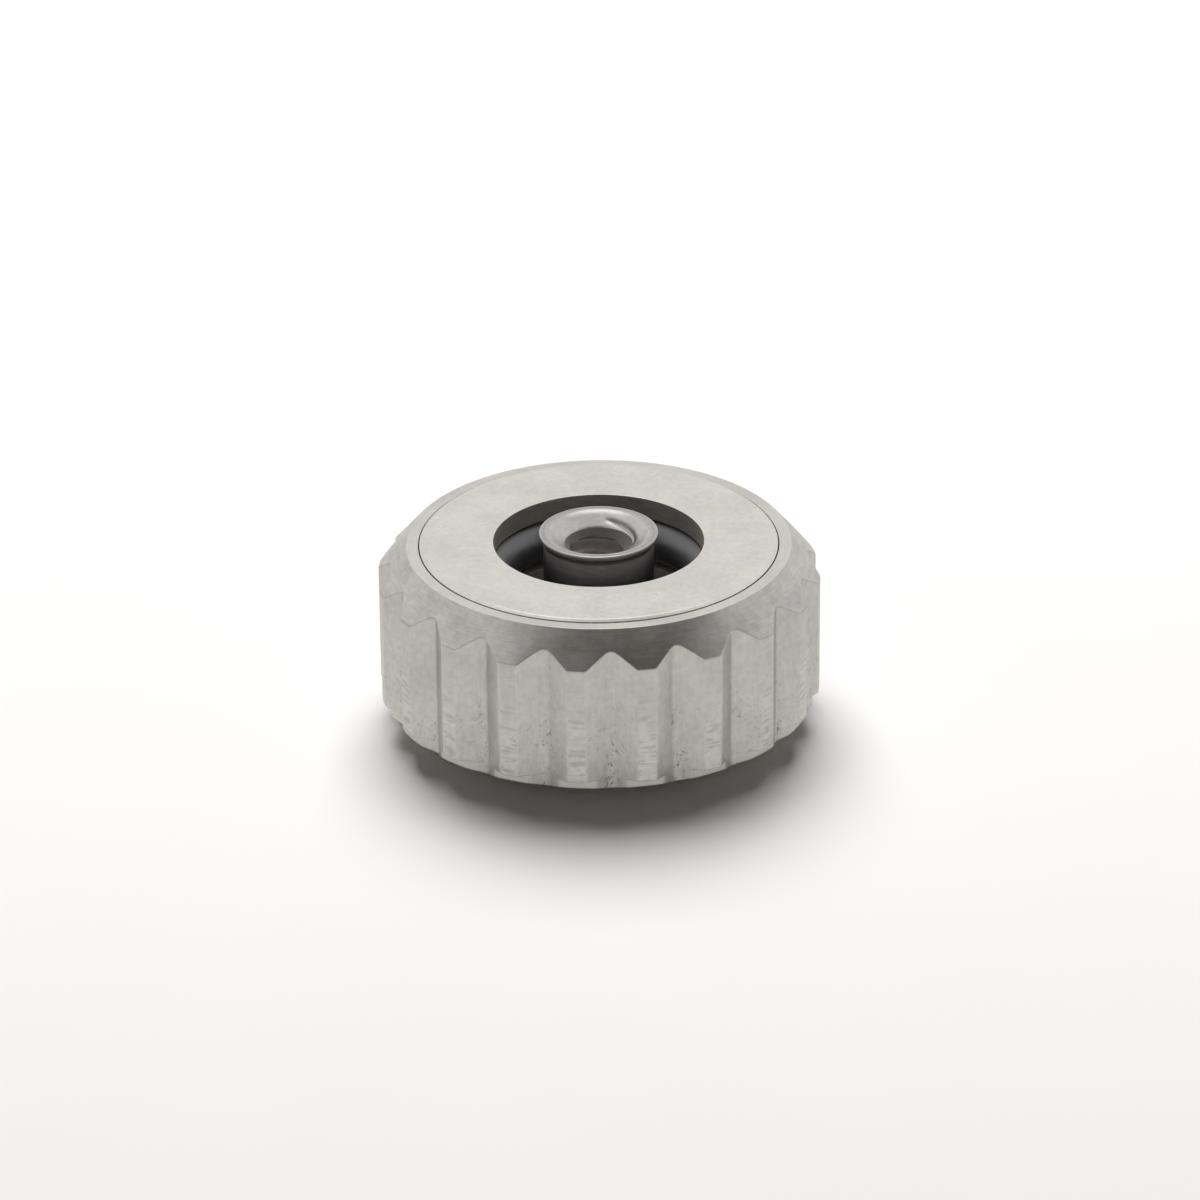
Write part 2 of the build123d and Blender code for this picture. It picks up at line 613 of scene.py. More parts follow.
@dataclass(frozen=True)
class Steel:
    """A machined stainless steel surface."""

    name: str
    tint: Colour
    roughness: float
    lay: Lay = Lay.ROUND
    line_pitch: float = 0.03
    line_length: float = 1.0
    line_depth: float = 0.0006 * MM
    line_strength: float = 0.5
    line_shade: float = 0.10
    height_sign: int = 1  # -1 where the wall runs down as it runs out
    cloud_size: float = 1.2
    cloud_shade: float = 0.06
    cloud_tint: Colour = (0.0, 0.0, 0.0)
    grain_size: float = 0.09
    grain_shade: float = 0.025
    # Painted highlight where the edge layer is positive, painted shade where it is negative
    painted_edge_light: float = 0.0
    metallic: float = 1.0
    anisotropic: float = 0.0
    dirt_and_shade: Optional[DirtAndRootShade] = None
    chatter: Optional[Chatter] = None

    def lines(self, place: Place) -> bpy.types.NodeSocket:
        """The fine lines of the surface's lay.

        Args:
            place: The shaded point.

        Returns:
            The lines, as noise.
        """
        long, short = 1 / self.line_length, 1 / self.line_pitch
        if self.lay is Lay.ROUND:
            stretched = place.wrapped(ROUND_RADIUS * long, short, self.height_sign * short)
        elif self.lay is Lay.ALONG:
            stretched = place.wrapped(FLUTE_RADIUS * short, FLUTE_DEPTH_SHARE * short, long)
        else:
            stretched = place.graph.vector("MULTIPLY", place.point, (short, short, short))
        return place.graph.noise(stretched, detail=3.0, rough=0.6)

    def struck(self, place: Place) -> bpy.types.NodeSocket:
        """The chatter marks: thin dark lines on slightly lighter patches.

        Args:
            place: The shaded point.

        Returns:
            What they add to the surface's tone.
        """
        graph, chatter = place.graph, self.chatter
        wander = graph.noise(place.point, chatter.stray_scale)
        wander = graph.math("MULTIPLY", wander, chatter.stray / chatter.pitch)
        level = place.wrapped(chatter.radius / chatter.length, 0.0, 1 / chatter.pitch)
        level = graph.vector("ADD", level, graph.combine(0.0, 0.0, wander))
        tone = graph.span(graph.noise(level, detail=1.0), *chatter.tone)
        patches = graph.span(place.grain(chatter.patches), *chatter.patch_edge)
        shown = graph.product(patches, graph.span(place.height, *chatter.foot))
        return graph.product(tone, shown)

    def apply_dirt_and_shade(
        self, place: Place, colour: object, rough: object
    ) -> tuple[bpy.types.NodeSocket, bpy.types.NodeSocket]:
        """Lays the grease specks, and the darkening along a flute's root that is partly grease and
        partly painted shade, over the surface.

        Args:
            place: The shaded point.
            colour: The clean steel's colour.
            rough: Its roughness.

        Returns:
            The colour and roughness with the grease and the painted shade.
        """
        graph, dirt_and_shade = place.graph, self.dirt_and_shade
        patches = place.grain(dirt_and_shade.patches)
        root = graph.span(place.radius, *dirt_and_shade.root)
        specks = graph.product(
            graph.span(place.grain(dirt_and_shade.specks), *dirt_and_shade.speck_edge),
            graph.span(patches, *dirt_and_shade.patch_edge),
            graph.math("MULTIPLY_ADD", root, dirt_and_shade.at_root, dirt_and_shade.everywhere),
            graph.span(place.height, *dirt_and_shade.foot),
        )
        mottle = graph.product(
            graph.span(place.grain(dirt_and_shade.mottle), *dirt_and_shade.mottle_edge),
            graph.span(patches, *dirt_and_shade.mottle_patch_edge),
        )
        # Painted shade, partly grease, along the flute's root
        depth = graph.product(root, graph.span(place.height, *dirt_and_shade.root_dirt_and_shade))
        dirt_and_shade_amount = graph.math("MULTIPLY_ADD", mottle, depth, specks, clamp=True)
        rough = graph.math("MULTIPLY_ADD", dirt_and_shade_amount, dirt_and_shade.roughening, rough)
        return graph.blend(dirt_and_shade_amount, colour, dirt_and_shade.tint), rough

    def build(self) -> bpy.types.Material:
        """Makes the material.

        Returns:
            The material, with colour, roughness and relief from its nodes.
        """
        material = bpy.data.materials.new(self.name)
        graph = Graph(material)
        place = Place(graph)
        relief = self.lines(place)
        clouds = graph.noise(place.point, 1 / self.cloud_size, detail=3.0, rough=0.55)
        grains = graph.noise(place.point, 1 / self.grain_size, detail=1.5)
        stains = graph.noise(place.point, STAIN_SHARE / self.cloud_size)
        shade = graph.span(relief, *LINE_SPAN, 1 - self.line_shade, 1 + self.line_shade)
        cloud = graph.span(clouds, *NOISE_SPAN, -self.cloud_shade, self.cloud_shade)
        grain = graph.span(grains, *NOISE_SPAN, -self.grain_shade, self.grain_shade)
        tone = graph.math("ADD", graph.math("ADD", shade, cloud), grain)
        if self.chatter:
            struck = self.struck(place)
            tone = graph.math("ADD", tone, struck)
            relief = graph.math("MULTIPLY_ADD", struck, self.chatter.relief, relief)
        # Painted highlight and painted shade along the edges, from the edge layer
        if self.painted_edge_light:
            edge = graph.add("ShaderNodeAttribute", attribute_name="edge").outputs["Fac"]
            tone = graph.math("MULTIPLY_ADD", edge, self.painted_edge_light, tone)
        stain = graph.scaled(self.cloud_tint, graph.span(stains, *STAIN_SPAN, -1.0, 1.0))
        colour = graph.scaled(graph.vector("ADD", stain, self.tint), tone)
        polished, dull = (self.roughness + change for change in CLOUD_POLISH)
        rough = graph.span(clouds, *NOISE_SPAN, polished, dull)
        if self.dirt_and_shade:
            colour, rough = self.apply_dirt_and_shade(place, colour, rough)

        shader = graph.add("ShaderNodeBsdfPrincipled")
        values = {
            "Base Color": colour,
            "Metallic": self.metallic,
            "Roughness": rough,
            "Normal": graph.bump(relief, self.line_depth, self.line_strength),
        }
        if self.anisotropic:
            tangent = graph.add("ShaderNodeTangent", direction_type="RADIAL", axis="Z")
            values |= {"Anisotropic": self.anisotropic, "Tangent": tangent.outputs[0]}
        graph.fill(shader, values)
        graph.show(shader)
        return material


@dataclass(frozen=True)
class Rubber:
    """Smooth black nitrile rubber with a trace of silicone grease."""

    name: str
    tint: Colour = (0.046, 0.044, 0.046)
    greased_tint: Colour = (0.058, 0.055, 0.059)
    dust_tint: Colour = (0.10, 0.095, 0.09)
    roughness: float = 0.8
    roughness_change: float = 0.06
    coat_roughness: float = 0.32
    coat_ior: float = 1.9
    grease: Grain = Grain(2.2, 3.0, 3.0)
    dust_scale: float = 60.0
    dust_edge: Fade = Fade(0.66, 0.74, 0.0, 0.35)
    moulding_scale: float = 26.0
    moulding_depth: float = 0.0012 * MM
    moulding_strength: float = 0.4

    def build(self) -> bpy.types.Material:
        """Makes the material.

        Returns:
            The material, with a faint moulded grain, patches of grease and a little dust.
        """
        material = bpy.data.materials.new(self.name)
        graph = Graph(material)
        place = Place(graph)
        grease = place.grain(self.grease)
        moulding = graph.noise(place.point, self.moulding_scale, detail=3.0, rough=0.6)
        dust = graph.noise(place.point, self.dust_scale, rough=0.6)
        tint = graph.blend(graph.span(grease, *NOISE_SPAN), self.tint, self.greased_tint)
        dry, wet = self.roughness + self.roughness_change, self.roughness - self.roughness_change
        shader = graph.add("ShaderNodeBsdfPrincipled")
        values = {
            "Base Color": graph.blend(graph.span(dust, *self.dust_edge), tint, self.dust_tint),
            "Roughness": graph.span(grease, *STAIN_SPAN, dry, wet),
            "Normal": graph.bump(moulding, self.moulding_depth, self.moulding_strength),
            "Specular IOR Level": 1.0,
            "Coat Weight": 1.0,
            "Coat Roughness": self.coat_roughness,
            "Coat IOR": self.coat_ior,
        }
        graph.fill(shader, values)
        graph.show(shader)
        return material


HEAD_TINT: Colour = (0.55, 0.53, 0.495)
LAND_TINT: Colour = (0.525, 0.508, 0.479)
# Paler than LAND_TINT: painted light that offsets the shade inside the flutes
FLUTE_TINT: Colour = (0.550, 0.533, 0.505)
RIM_TINT: Colour = (0.66, 0.638, 0.596)
CHAMBER_TINT: Colour = (0.62, 0.60, 0.57)
WARM_CLOUDS: Colour = (0.008, 0.004, -0.006)
# Oiled steel, darkened further as painted shade under the lip and down in the chamber
POST_TINT: Colour = (0.36, 0.355, 0.35)
LIP_TINT: Colour = (0.40, 0.39, 0.375)
# Painted shade under the lip's outer edge
LIP_SIDE_TINT: Colour = (0.24, 0.235, 0.23)
COUNTERSINK_TINT: Colour = (0.535, 0.525, 0.50)
OIL_TINT: Colour = (0.125, 0.112, 0.102)
BORE_TINT: Colour = (0.60, 0.57, 0.545)
WASHER_TINT: Colour = (0.725, 0.70, 0.65)
WASHER_CLOUDS: Colour = (0.008, 0.005, -0.006)
WASHER_EDGE_TINT: Colour = (0.70, 0.66, 0.59)
SPACER_TINT: Colour = (0.70, 0.69, 0.68)


# Pieces


class SectionPoint(NamedTuple):
    """A point of the fluted section, seen from the middle of a flute."""

    radius: float
    turn: float
    edge: float


@dataclass
class Flutes:
    """The straight flutes round the grip."""

    head_radius: float
    count: int = 20
    depth: float = 0.18 * MM
    angle: float = math.radians(124)
    root_radius: float = 0.17 * MM
    edge_rounding: float = 0.028 * MM
    root_steps: int = 4
    wall_steps: int = 5
    edge_steps: int = 4
    land_steps: int = 3

    @property
    def half_steps(self) -> int:
        """Columns from the middle of a flute to the middle of a land."""
        return self.root_steps + self.wall_steps + self.edge_steps + self.land_steps

    @property
    def columns(self) -> int:
        """Columns round the whole head."""
        return 2 * self.half_steps * self.count

    def half_section(self) -> list[SectionPoint]:
        """The section from the middle of a flute to the middle of a land.

        Returns:
            Its points, one for each column.
        """
        half = self.angle / 2
        centre = Vector((self.head_radius - self.depth + self.root_radius, 0.0))
        points = []
        for step in range(self.root_steps):
            turn = math.pi - (math.pi / 2 - half) * step / self.root_steps
            root = centre + self.root_radius * Vector((math.cos(turn), math.sin(turn)))
            points.append((root, 0.0))
        foot = centre + self.root_radius * Vector((-math.sin(half), math.cos(half)))
        along = Vector((math.cos(half), math.sin(half)))
        inward = foot.dot(along)
        reach = -inward + math.sqrt(inward**2 + self.head_radius**2 - foot.length_squared)
        top = foot + reach * along
        edge_start = foot + (reach - self.edge_rounding) * along
        edge_turn = math.atan2(top.y, top.x) + self.edge_rounding / self.head_radius
        edge_end = self.head_radius * Vector((math.cos(edge_turn), math.sin(edge_turn)))
        for step in range(self.wall_steps):
            points.append((foot.lerp(edge_start, step / self.wall_steps), 0.0))
        for step in range(self.edge_steps):
            t = step / self.edge_steps
            place = (1 - t) ** 2 * edge_start + 2 * t * (1 - t) * top + t**2 * edge_end
            points.append((place, 1 - abs(2 * t - 1)))
        middle = math.pi / self.count
        for step in range(self.land_steps + 1):
            turn = edge_turn + (middle - edge_turn) * step / self.land_steps
            land = self.head_radius * Vector((math.cos(turn), math.sin(turn)))
            points.append((land, 0.0))
        return [SectionPoint(p.length, math.atan2(p.y, p.x), edge) for p, edge in points]


class HeadZone(IntEnum):
    """A surface of the head that has its own finish. The value is its material index."""

    OUTER_FACE = 0
    BAND = 1
    LAND = 2
    CHAMFER = 3
    RIM = 4
    INSIDE = 5
    FLUTE = 6


@dataclass
class CrownHead:
    """The fluted head, with the step for the washer and the chamber for the seals."""

    node: str = "crown_head"
    flat_radius: float = 1.55 * MM
    outer_face_rise: float = 0.42 * MM
    outer_face_bulge: float = 0.05 * MM
    outer_face_steps: int = 10
    band_step: float = 0.08 * MM
    band_height: float = 0.13 * MM
    upper_chamfer_rise: float = 0.445 * MM
    upper_chamfer_run: float = 0.39 * MM
    rim_width: float = 0.17 * MM
    edge_break: float = 0.02 * MM
    chamber_radius: float = 1.85 * MM
    chamber_corner: float = 0.08 * MM
    floor_height: float = 0.85 * MM
    socket_radius: float = 0.65 * MM
    socket_floor: float = 0.30 * MM
    grip_rows: int = 10
    # Painted highlight, partly wear, along the lands' edges, and painted shade along the turned
    # edges
    land_edge_wear_and_highlight: float = 0.1  # how bright a flute's edges show on the lands
    turned_edge_painted_shade: float = -2.0  # the same for the turned edges, which are dark
    flutes: Flutes = field(init=False)

    def __post_init__(self) -> None:
        """Takes the outside sizes from the frame."""
        low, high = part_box(self.node)
        self.foot, self.rim_height = low[2], high[2]
        self.radius = (high[0] - low[0]) / 2
        self.step_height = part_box("retaining_washer")[0][2]
        self.flutes = Flutes(self.radius)

    def outline(self, section_radius: float) -> list[Station]:
        """The turned outline where the fluted section has a given radius.

        Args:
            section_radius: The section's radius there, the head's own on a land.

        Returns:
            The stations from the middle of the outer face round to the socket's floor.
        """
        zone, ease = HeadZone, self.edge_break
        rim_outer = self.radius - self.upper_chamfer_run
        step_radius = rim_outer - self.rim_width
        dome_start = (self.flat_radius, self.foot)
        dome_end = (self.radius - self.band_step, self.foot + self.outer_face_rise)
        bulge, steps = self.outer_face_bulge, self.outer_face_steps
        arc = dome(dome_start, dome_end, bulge, section_radius, steps)
        grip_foot = dome_end[1] + self.band_height
        slope = self.upper_chamfer_rise / self.upper_chamfer_run
        cut = self.radius - section_radius
        grip_top = self.rim_height - self.upper_chamfer_rise + slope * cut
        return trace(
            [
                Corner(0.0, self.foot, zone.OUTER_FACE, rows=6),
                Corner(*dome_start, zone.OUTER_FACE, 2 * ease),
                *(Corner(*place, zone.OUTER_FACE) for place in arc[:-1]),
                Corner(*arc[-1], zone.BAND, ease, 2),
                Corner(arc[-1][0], grip_foot, zone.BAND),
                Corner(section_radius, grip_foot, zone.LAND, 0.4 * ease, self.grip_rows),
                Corner(section_radius, grip_top, zone.CHAMFER, ease, 4),
                Corner(rim_outer, self.rim_height, zone.RIM, 0.3 * ease, 2),
                Corner(step_radius, self.rim_height, zone.INSIDE, 0.5 * ease),
                Corner(step_radius, self.step_height, zone.INSIDE, ease),
                Corner(self.chamber_radius, self.step_height, zone.INSIDE, ease),
                Corner(self.chamber_radius, self.floor_height, zone.INSIDE, self.chamber_corner, 3),
                Corner(self.socket_radius, self.floor_height, zone.INSIDE, ease),
                Corner(self.socket_radius, self.socket_floor, zone.INSIDE, ease),
                Corner(0.0, self.socket_floor, zone.INSIDE),
            ]
        )

    def cut_flutes(self, blank: Turned) -> None:
        """Draws the turned blank in to the fluted section, column by column.

        Args:
            blank: The turned blank, with a column for each point of the section.
        """
        half = self.flutes.half_section()
        outlines = {point.radius: self.outline(point.radius) for point in half}
        pitch = 2 * self.flutes.half_steps
        for vert in blank.mesh.verts:
            if math.hypot(vert.co.x, vert.co.y) < WELD:
                continue
            column = blank.column(vert)
            flute, offset = divmod(column - self.flutes.half_steps, pitch)
            beyond = offset > self.flutes.half_steps  # past the land's middle, so the next flute's
            point = half[pitch - offset if beyond else offset]
            ring = outlines[point.radius][vert[blank.station]]
            middle = (flute + 0.5 + beyond) * math.tau / self.flutes.count
            turn = middle - point.turn if beyond else middle + point.turn
            vert.co = (ring.radius * math.cos(turn), ring.radius * math.sin(turn), ring.height)
            # Lights the lands' edges and darkens the turned edges through the edge layer: painted
            # highlight and painted shade
            on_land = ring.zone is HeadZone.LAND
            along = self.land_edge_wear_and_highlight * point.edge * on_land
            vert[blank.edge] = along + self.turned_edge_painted_shade * ring.edge
        bmesh.ops.remove_doubles(blank.mesh, verts=blank.mesh.verts[:], dist=WELD)

    def part_flutes_from_lands(self, blank: Turned) -> None:
        """Gives the faces in the flutes their own material, and leaves the lands theirs.

        Args:
            blank: The fluted head.
        """
        slack = 0.1 * self.flutes.edge_rounding
        full_radius = {
            HeadZone.LAND: self.radius - slack,
            HeadZone.BAND: self.radius - self.band_step - slack,
        }
        for face in blank.mesh.faces:
            least = min(math.hypot(v.co.x, v.co.y) for v in face.verts)
            if least < full_radius.get(face.material_index, 0.0):
                face.material_index = int(HeadZone.FLUTE)

    def finishes(self) -> list[Steel]:
        """Lists the head's finishes.

        Returns:
            The finishes, in the order of its zones.
        """
        return [
            Steel("bare_outer_face", HEAD_TINT, 0.30, line_length=1.5, line_shade=0.06),
            Steel(
                "turned_band",
                HEAD_TINT,
                0.36,
                line_pitch=0.02,
                line_length=0.8,
                line_shade=0.06,
            ),
            Steel(
                "tool_marked_land",
                LAND_TINT,
                0.36,
                line_pitch=0.018,
                line_length=0.35,
                line_shade=0.05,
                grain_shade=0.05,
                painted_edge_light=0.12,
                dirt_and_shade=DirtAndRootShade(),
                chatter=Chatter(),
            ),
            Steel(
                "brushed_upper_chamfer",
                HEAD_TINT,
                0.33,
                line_length=0.35,
                line_depth=0.0012 * MM,
                line_shade=0.09,
                height_sign=-1,
                cloud_size=0.5,
                cloud_shade=0.10,
                cloud_tint=WARM_CLOUDS,
                grain_shade=0.05,
                painted_edge_light=0.12,
                anisotropic=0.4,
            ),
            Steel(
                "faced_rim",
                RIM_TINT,
                0.28,
                line_pitch=0.02,
                line_length=2.0,
                line_shade=0.06,
                cloud_tint=WARM_CLOUDS,
            ),
            Steel("turned_chamber", CHAMBER_TINT, 0.55, line_length=2.0),
            Steel(
                "drawn_flute",
                FLUTE_TINT,
                0.36,
                Lay.ALONG,
                line_pitch=0.02,
                line_length=0.4,
                line_shade=0.04,
                cloud_size=0.6,
                grain_shade=0.05,
                painted_edge_light=0.12,
                dirt_and_shade=DirtAndRootShade(everywhere=0.25),
            ),
        ]

    def build(self) -> bpy.types.Object:
        """Turns, flutes and finishes the head.

        Returns:
            The head.
        """
        blank = Turned(self.outline(self.radius), self.flutes.columns)
        self.cut_flutes(blank)
        self.part_flutes_from_lands(blank)
        materials = [finish.build() for finish in self.finishes()]
        return blank.to_object("fluted_head", materials, self.node)


class PostZone(IntEnum):
    """A surface of the post that has its own finish. The value is its material index."""

    OUTSIDE = 0
    LIP = 1
    COUNTERSINK = 2
    THREAD = 3
    BORE = 4
    LIP_SIDE = 5


@dataclass
class StemPost:
    """The tapped post that the winding stem screws into."""

    node: str = "stem_post"
    body_radius: float = 0.75 * MM
    lip_thickness: float = 0.06 * MM
    foot_radius: float = 0.65 * MM
    shoulder_height: float = 0.85 * MM
    mouth_radius: float = 0.69 * MM
    mouth_rows: int = 12
    throat_radius: float = 0.475 * MM  # where the countersink turns steeper
    throat_depth: float = 0.150 * MM
    oil_radius: float = 0.458 * MM  # how far up the countersink the thread's dark oil reaches
    thread_radius: float = 0.45 * MM
    crest_radius: float = 0.342 * MM
    thread_depth: float = 0.285 * MM  # from the lip's top down to the thread's first full turn
    thread_pitch: float = 0.225 * MM
    thread_start: float = math.radians(60)
    flank_share: float = 1.35  # how steep the flanks are, over a plain zigzag's
    crest_share: float = 0.2  # how much of the zigzag the flat crests take off
    runout_from: float = math.radians(88)
    runout_turn: float = math.radians(-104)
    runout_reach: float = 0.11 * MM
    runout_depth: float = 0.032 * MM
    runout_width: float = 0.028 * MM
    runout_fading: float = 5.0  # how fast both ends fade, over its length
    runout_shade: float = 1.3  # how dark its outer side shows
    shade_offset: float = 0.8  # how far out of its middle that side lies, over its width
    shade_spread: float = 0.7
    drill_angle: float = math.radians(118)
    hole_floor: float = 0.27 * MM
    edge_break: float = 0.02 * MM
    rows_to_pitch: int = 14
    arc_steps: int = 12
    columns: int = 192

    def __post_init__(self) -> None:
        """Takes the heights and the lip from the frame."""
        low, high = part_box(self.node)
        self.foot, self.top = low[2], high[2]
        self.lip_radius = (high[0] - low[0]) / 2
        share = (self.throat_radius - self.oil_radius) / (self.throat_radius - self.crest_radius)
        depth = self.throat_depth + share * (self.thread_depth - self.throat_depth)
        self.oil_top = self.top - depth

    def outline(self) -> list[Station]:
        """The outline from the foot's middle round the lip and down the hole.

        Returns:
            The stations, close together where the thread is cut.
        """
        zone, ease = PostZone, self.edge_break
        tip = self.foot + self.hole_floor
        thread_foot = tip + self.crest_radius / math.tan(self.drill_angle / 2)
        throat = self.top - self.throat_depth
        thread_top = self.top - self.thread_depth
        row = self.thread_pitch / self.rows_to_pitch
        oil_rows = round((self.oil_top - thread_top) / row)
        thread_rows = round((thread_top - thread_foot) / row)
        lip_foot = self.top - self.lip_thickness
        neck = lip_foot - (self.lip_radius - self.body_radius)
        corners = [
            Corner(0.0, self.foot, zone.OUTSIDE),
            Corner(self.foot_radius, self.foot, zone.OUTSIDE, ease),
            Corner(self.foot_radius, self.shoulder_height, zone.OUTSIDE),
            Corner(self.body_radius, self.shoulder_height, zone.OUTSIDE, ease, 6),
            Corner(self.body_radius, neck, zone.OUTSIDE, 2 * ease),
            Corner(self.lip_radius, lip_foot, zone.LIP_SIDE, 0.3 * ease),
            Corner(self.lip_radius, self.top, zone.LIP, 2.25 * ease, 2),
            Corner(self.mouth_radius, self.top, zone.COUNTERSINK, 4 * ease, self.mouth_rows),
            Corner(self.throat_radius, throat, zone.COUNTERSINK, 1.5 * ease, 2),
            Corner(self.oil_radius, self.oil_top, zone.THREAD, rows=oil_rows),
            Corner(self.crest_radius, thread_top, zone.BORE, rows=thread_rows),
            Corner(self.crest_radius, thread_foot, zone.BORE, rows=3),
            Corner(0.0, tip, zone.BORE),
        ]
        # The countersink and the thread take no painted edge light from their roundings
        soft = (zone.COUNTERSINK, zone.THREAD)
        stations = trace(corners, self.arc_steps)
        return [item._replace(edge=0.0) if item.zone in soft else item for item in stations]

    def cut_thread(self, blank: Turned, stations: Sequence[Station]) -> None:
        """Cuts a right-hand thread into the hole's wall, running out in the countersink.

        Args:
            blank: The turned post.
            stations: Its outline.
        """
        depth = self.thread_radius - self.crest_radius
        for vert in blank.mesh.verts:
            radius = math.hypot(vert.co.x, vert.co.y)
            tapped = stations[vert[blank.station]].zone in (PostZone.THREAD, PostZone.BORE)
            if not tapped or radius < self.crest_radius - WELD:
                continue
            turn = math.atan2(vert.co.y, vert.co.x)
            phase = vert.co.z / self.thread_pitch - (turn + self.thread_start) / math.tau
            wave = 1 - abs(2 * (phase % 1.0) - 1)
            begun = min(max(2 * (self.oil_top - vert.co.z) / self.thread_pitch, 0.0), 1.0)
            profile = min(max(self.flank_share * wave - self.crest_share, 0.0), 1.0)
            cut = self.crest_radius + begun * depth * profile
            if cut > radius:
                vert.co.x *= cut / radius
                vert.co.y *= cut / radius

    def run_thread_out(self, blank: Turned, stations: Sequence[Station]) -> None:
        """Presses the thread's last turn into the countersink as a fading spiral groove, and paints
        shade along its outer side.

        Args:
            blank: The turned post.
            stations: Its outline.
        """
        for vert in blank.mesh.verts:
            if stations[vert[blank.station]].zone is not PostZone.COUNTERSINK:
                continue
            radius = math.hypot(vert.co.x, vert.co.y)
            turn = math.atan2(vert.co.y, vert.co.x) - self.runout_from
            share = (turn / self.runout_turn) % (math.tau / abs(self.runout_turn))
            if share > 1:
                continue
            ridge = self.thread_radius + self.runout_reach * (1 - share)
            offset = (radius - ridge) / self.runout_width
            fade = min(1.0, self.runout_fading * share, self.runout_fading * (1 - share))
            vert.co.z -= self.runout_depth * fade * math.exp(-(offset**2))
            # Painted shade: the edge layer darkens the groove's outer side
            shade = math.exp(-((offset - self.shade_offset) ** 2) / self.shade_spread)
            vert[blank.edge] -= self.runout_shade * fade * shade

    def finishes(self) -> list[Steel]:
        """Lists the post's finishes.

        Returns:
            The finishes, in the order of its zones.
        """
        return [
            # Painted shade, on top of oil, where the post stands under its lip
            Steel("oiled_and_shaded_post", POST_TINT, 0.30, line_length=0.6, line_shade=0.14),
            # Painted highlight on the lip's rounded edges, through the edge layer
            Steel("lip_with_painted_highlight", LIP_TINT, 0.24, line_shade=0.06, painted_edge_light=0.3),
            # Its edge light is the painted shade along the thread's run-out
            Steel(
                "cut_countersink",
                COUNTERSINK_TINT,
                0.34,
                line_pitch=0.04,
                line_length=0.8,
                painted_edge_light=0.5,
            ),
            Steel("oiled_thread", OIL_TINT, 0.6, line_length=0.6, cloud_shade=0.2, metallic=0.0),
            Steel("dusty_bore", BORE_TINT, 0.8, line_length=0.6, cloud_shade=0.1, metallic=0.0),
            # Painted shade under the lip, and a painted highlight on its upper edge
            Steel("lip_side_painted_shade", LIP_SIDE_TINT, 0.32, line_length=0.6, painted_edge_light=0.2),
        ]

    def build(self) -> bpy.types.Object:
        """Turns, taps and finishes the post.

        Returns:
            The post.
        """
        stations = self.outline()
        blank = Turned(stations, self.columns)
        self.cut_thread(blank, stations)
        self.run_thread_out(blank, stations)
        materials = [finish.build() for finish in self.finishes()]
        return blank.to_object("tapped_post", materials, self.node)


class WasherZone(IntEnum):
    """A surface of the washer that has its own finish. The value is its material index."""

    FACE = 0
    WALL = 1


@dataclass
class RetainingWasher:
    """The flat disc that closes the chamber."""

    node: str = "retaining_washer"
    hole_radius: float = 1.425 * MM
    edge_break: float = 0.025 * MM
    bevel_drop: float = 0.030 * MM
    bevel_run: float = 0.041 * MM
    columns: int = 256

    def finishes(self) -> list[Steel]:
        """Lists the washer's finishes.

        Returns:
            The finishes, in the order of its zones.
        """
        return [
            Steel(
                "satin_washer",
                WASHER_TINT,
                0.25,
                Lay.EVEN,
                line_pitch=0.055,
                line_depth=0.0003 * MM,
                line_shade=0.03,
                cloud_size=0.7,
                cloud_shade=0.045,
                cloud_tint=WASHER_CLOUDS,
            ),
            Steel("stamped_washer_edge", WASHER_EDGE_TINT, 0.45, line_length=0.4, metallic=0.4),
        ]

    def build(self) -> bpy.types.Object:
        """Turns and finishes the washer.

        Returns:
            The washer.
        """
        low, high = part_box(self.node)
        foot, top = low[2], high[2]
        outer = (high[0] - low[0]) / 2
        zone, ease = WasherZone, self.edge_break
        corners = [
            Corner(outer, foot, zone.WALL),
            Corner(outer, top - self.bevel_drop, zone.FACE, 0.2 * ease),
            Corner(outer - self.bevel_run, top, zone.FACE, 0.3 * ease, 6),
            Corner(self.hole_radius, top, zone.WALL, 0.4 * ease, 3),
            Corner(self.hole_radius, foot, zone.WALL, ease),
            Corner((self.hole_radius + outer) / 2, foot, zone.WALL),
        ]
        blank = Turned(trace(corners), self.columns, closed=True)
        materials = [finish.build() for finish in self.finishes()]
        return blank.to_object("closing_washer", materials, self.node)


@dataclass
class RubberRing:
    """One sealing ring of round section."""

    node: str
    name: str
    section_steps: int = 40
    columns: int = 192

    def build(self, rubber: bpy.types.Material) -> bpy.types.Object:
        """Turns the ring from a circle.

        Args:
            rubber: The finish.

        Returns:
            The ring.
        """
        low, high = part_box(self.node)
        section = (high[2] - low[2]) / 2
        mean = (high[0] - low[0]) / 2 - section
        middle = (high[2] + low[2]) / 2
        stations = []
        for step in range(self.section_steps):
            turn = math.tau * step / self.section_steps
            radius, height = mean + section * math.cos(turn), middle + section * math.sin(turn)
            stations.append(Station(radius, height, PlainZone.WHOLE))
        blank = Turned(stations, self.columns, closed=True)
        return blank.to_object(self.name, [rubber], self.node)


